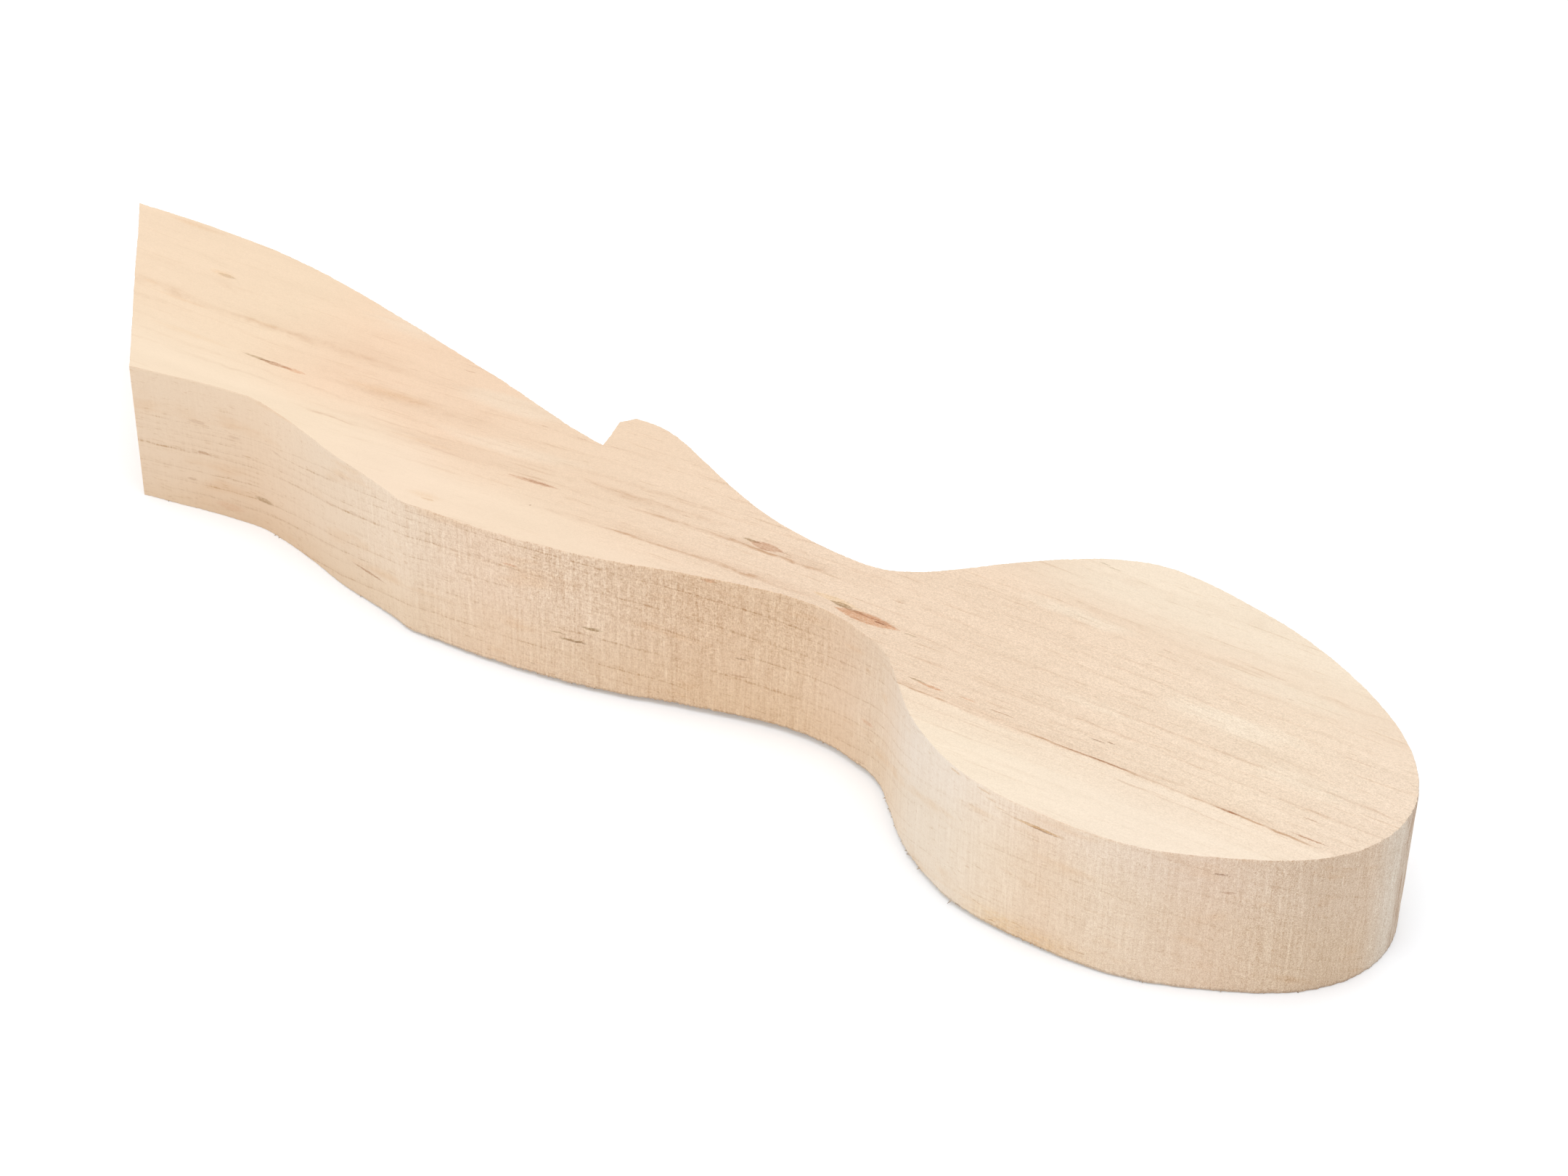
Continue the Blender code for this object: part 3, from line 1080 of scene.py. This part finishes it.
# How much lighter the sawn side is 10 mm above its middle, by x.
UPPER_TONE = [
    (-120, 0.01),
    (-84, 0.027),
    (-70, 0.055),
    (-53, 0.035),
    (-37, 0.018),
    (-21, 0.0),
    (-6, 0.0),
    (9, -0.035),
    (32, -0.025),
    (60, -0.015),
    (76, 0.008),
    (91, -0.018),
    (120, -0.018),
]


def sawn_material(name):
    w = Wood(name, (0, 200), SIDE_FLECKS, True)
    g = w.g
    saw = g.node("ShaderNodeAttribute", attribute_name="saw").outputs["Vector"]
    rough = g.node("ShaderNodeAttribute", attribute_name="sawn_rough").outputs["Fac"]
    along, up, _ = g.parts(saw)
    # Sawn colour by x, with painted light from the left at the bowl's shoulder.
    colour = g.colours(w.x, LO, HI, [(x, seen(c, SIDE_LIGHT)) for x, c in SAWN_TONE_AND_LIGHT])

    band = g.grit(g.vector(g.mul(w.x, 1 / 45), g.mul(w.rho, 0.55), 2.0), (1, 1, 1), 2.0, seed=21)
    patch = g.grit(w.grain, (1 / 12, 1 / 4, 1 / 4), 3.0, seed=22)
    warm = g.ramp(g.add(g.mul(band, 0.5), g.mul(patch, 0.6)), 0.3, 1.8, 0.0, 0.75)
    colour = g.tint(warm, colour, (0.94, 0.86, 0.77))
    colour = g.tint(g.ramp(w.rho, 99.0, 108.0, 0.0, 0.8), colour, (0.965, 0.945, 0.90))
    lift = g.curve(w.x, LO, HI, UPPER_TONE, -0.1, 0.2)
    colour = w.shaded(colour, g.mul(lift, g.mul(g.sub(w.z, 12.5), 0.1)))
    # The very end of the bowl: a paler, cooler facet, its paleness partly painted light from the right falling on it,
    # then a torn strip where the cut came round.
    lit_facet = g.mul(g.ramp(along, 217.5, 224.5), g.ramp(along, 248.0, 240.0))
    colour = g.mix(g.mul(lit_facet, 0.9), colour, (*seen((219, 205, 188), SIDE_LIGHT), 1.0))
    strip = g.mul(g.ramp(along, 224.5, 226.5), g.ramp(along, 233.0, 228.5))
    streaks = g.ramp(g.grit(saw, (1.6, 0.12, 1.0), 2.0, 0.6, seed=31), -0.8, 1.0, 0.25, 0.95)
    colour = g.tint(g.mul(strip, streaks), colour, (0.66, 0.54, 0.46))
    # The lower edge under the bowl, where the blade tore the fibres.
    torn = g.mul(g.ramp(along, 158.0, 167.0), g.ramp(along, 186.0, 172.0))
    torn = g.mul(torn, g.ramp(g.mad(patch, 1.2, up), 5.0, 0.4))
    scuffed = g.ramp(g.grit(w.grain, (0.9, 2.6, 2.6), 3.0, 0.6, seed=29), -1.4, 1.2, 0.25, 1.0)
    colour = g.tint(g.mul(torn, scuffed), colour, (0.96, 0.88, 0.74))

    # Tooth marks run down the side. Fuzz and torn fibre lie over them, more of it where the saw was rougher. The
    # fuzz's dark speckle, stronger towards the top, and the dark pits are painted shade among the fibres.
    strength = g.mul(g.mad(rough, 0.80, 0.20), g.ramp(w.x, -55.0, -8.0, 0.42, 1.0))
    teeth = g.grit(saw, (2.7, 0.09, 1.0), 2.0, 0.6, seed=23)
    broad = g.grit(saw, (0.8, 0.05, 1.0), 2.0, 0.5, seed=24)
    threads = g.ramp(g.grit(saw, (1.7, 0.10, 1.0), 2.0, 0.6, seed=28), 0.7, 2.0)
    fuzz = g.grit(saw, (5.6, 2.1, 1.0), 2.0, 0.65, seed=25)
    tuft = g.grit(saw, (2.4, 1.0, 1.0), 2.0, 0.6, seed=27)
    grit = g.grit(w.grain, (1.3, 4.6, 4.6), 2.0, 0.6, seed=26)

    lines, patchy = w.rings
    seen_here = g.ramp(w.x, 30.0, 60.0, 1.0, 0.50)
    comb = g.ramp(g.mad(teeth, 0.7, g.mul(tuft, 0.9)), -1.1, 0.9, 1.35, 0.5)
    colour = g.tint(g.mul(g.mul(lines, patchy), g.mul(seen_here, comb)), colour, (0.72, 0.60, 0.48))
    long_ones, short = w.stray_lines()
    colour = g.tint(g.mul(long_ones, g.mul(comb, 0.42)), colour, (0.82, 0.72, 0.60))
    colour = g.tint(g.mul(short, g.mad(torn, 0.9, 0.45)), colour, (0.74, 0.60, 0.46))

    marks = g.mad(teeth, 0.054, g.mad(broad, 0.016, g.mul(threads, 0.13)))
    upper = g.mad(g.ramp(w.z, 6.0, 20.0), g.ramp(w.x, 42.0, 30.0, 0.0, 0.55), 0.85)
    dust = g.mul(g.grit(w.p, (7.0, 7.0, 7.0), 1.0, 0.6, seed=30), g.ramp(w.x, 60.0, 100.0, 0.02, 0.17))
    fuzz_shading = g.mad(fuzz, 0.085, g.mad(grit, 0.060, g.mad(tuft, 0.040, dust)))
    marks = g.mad(fuzz_shading, upper, marks)
    colour = w.shaded(colour, g.mul(marks, strength))
    # Dark pits: painted shade in the torn-out hollows.
    pit_shade = g.ramp(g.mad(fuzz, 0.6, g.mul(tuft, 0.6)), 1.3, 2.3)
    colour = g.tint(g.mul(pit_shade, g.mul(strength, 0.6)), colour, (0.66, 0.55, 0.45))
    colour = w.fleck_colour(colour)
    # Painted shade on the lower arris: a ragged grey band from about x -55 on, standing in for the contact shadow
    # under the bowed, lifted edge.
    lower_arris_shade = g.ramp(g.mad(tuft, 0.10, up), 0.55, 0.20)
    lower_arris_shade = g.mul(lower_arris_shade, g.ramp(w.x, -55.0, -20.0, 0.0, 0.65))
    colour = g.tint(lower_arris_shade, colour, (0.66, 0.63, 0.62))
    roughness = g.mad(fuzz, 0.03, 0.85)
    height = g.mad(teeth, 0.12, g.mad(fuzz, 0.12, g.mul(grit, 0.08)))
    return w.finish(colour, roughness, g.mul(height, strength), 0.09)


blank.data.materials.append(sawn_material("wood_sawn"))
blank.data.materials.append(planed_material("wood_planed_top", (70, 99.5), TOP_FLECKS, True))
blank.data.materials.append(planed_material("wood_planed_under", (102, 125), [], False))

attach(blank, "root")
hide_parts("spoon_blank")

# ---------------------------------------------------------------------------------------------------------------------
# Floor, light and camera
# ---------------------------------------------------------------------------------------------------------------------

floor_mesh = bpy.data.meshes.new("floor")
W = 2.5
floor_mesh.from_pydata(
    [(-W, -W, -5e-5), (W, -W, -5e-5), (W, W, -5e-5), (-W, W, -5e-5)], [], [(0, 1, 2, 3)]
)
floor = bpy.data.objects.new("floor", floor_mesh)
bpy.context.scene.collection.objects.link(floor)
paper = Graph("floor_paper")
shader = paper.node("ShaderNodeBsdfPrincipled")
tooth = paper.noise(paper.node("ShaderNodeTexCoord").outputs["Object"], (900, 900, 900), 2.0)
paper.feed(
    shader.inputs["Base Color"],
    paper.mix(tooth, (0.90, 0.925, 0.96, 1.0), (0.92, 0.945, 0.98, 1.0)),
)
shader.inputs["Roughness"].default_value = 0.9
shader.inputs["Specular IOR Level"].default_value = 0.1
shader.inputs["Emission Color"].default_value = (1.0, 1.0, 1.0, 1.0)
shader.inputs["Emission Strength"].default_value = 0.095
paper_out = paper.node("ShaderNodeOutputMaterial")
paper.feed(paper_out.inputs["Surface"], shader.outputs[0])
floor_mesh.materials.append(paper.material)

world = bpy.data.worlds.new("studio")
bpy.context.scene.world = world
world.use_nodes = True
backdrop = world.node_tree.nodes["Background"]
backdrop.inputs["Color"].default_value = (1.0, 1.0, 1.0, 1.0)
backdrop.inputs["Strength"].default_value = 0.57


def softbox(name, azimuth, elevation, distance, size, power, colour=(1.0, 1.0, 1.0)):
    """A square area light aimed at the blank, azimuth anticlockwise from +X."""
    light = bpy.data.lights.new(name, "AREA")
    light.shape = "SQUARE"
    light.size = size
    light.energy = power
    light.color = colour
    lamp = bpy.data.objects.new(name, light)
    a, e = math.radians(azimuth), math.radians(elevation)
    place = distance * Vector(
        (math.cos(e) * math.cos(a), math.cos(e) * math.sin(a), math.sin(e))
    )
    lamp.matrix_world = (
        Matrix.Translation(place) @ place.to_track_quat("Z", "Y").to_matrix().to_4x4()
    )
    bpy.context.scene.collection.objects.link(lamp)
    return lamp


softbox("top_light", 306, 86, 1.6, 1.1, 10.2)
softbox("left_light", 206, 32, 1.6, 1.4, 4.5)
softbox("front_light", 266, 60, 1.6, 1.1, 2.7)
softbox("back_light", 86, 32, 1.6, 1.1, 3.3)
softbox("right_light", 22, 35, 1.6, 1.1, 3.0)

camera_data = bpy.data.cameras.new("camera")
camera_data.sensor_fit = "HORIZONTAL"
camera_data.sensor_width = 36.0
camera_data.lens = 5876.8 * 36.0 / 2160.0
camera_data.clip_start = 0.05
camera_data.clip_end = 20.0
camera = bpy.data.objects.new("camera", camera_data)
right = Vector((0.8136681, 0.58120435, 0.01207224)).normalized()
back = Vector((0.43639581, -0.62439682, 0.64783278)).normalized()
up = back.cross(right).normalized()
right = up.cross(back).normalized()
place = Vector((0.28419, -0.38622, 0.41591))
camera.matrix_world = Matrix(
    (
        (right.x, up.x, back.x, place.x),
        (right.y, up.y, back.y, place.y),
        (right.z, up.z, back.z, place.z),
        (0.0, 0.0, 0.0, 1.0),
    )
)
bpy.context.scene.collection.objects.link(camera)
bpy.context.scene.camera = camera

bpy.context.scene.view_settings.view_transform = "Standard"
bpy.context.scene.view_settings.look = "None"
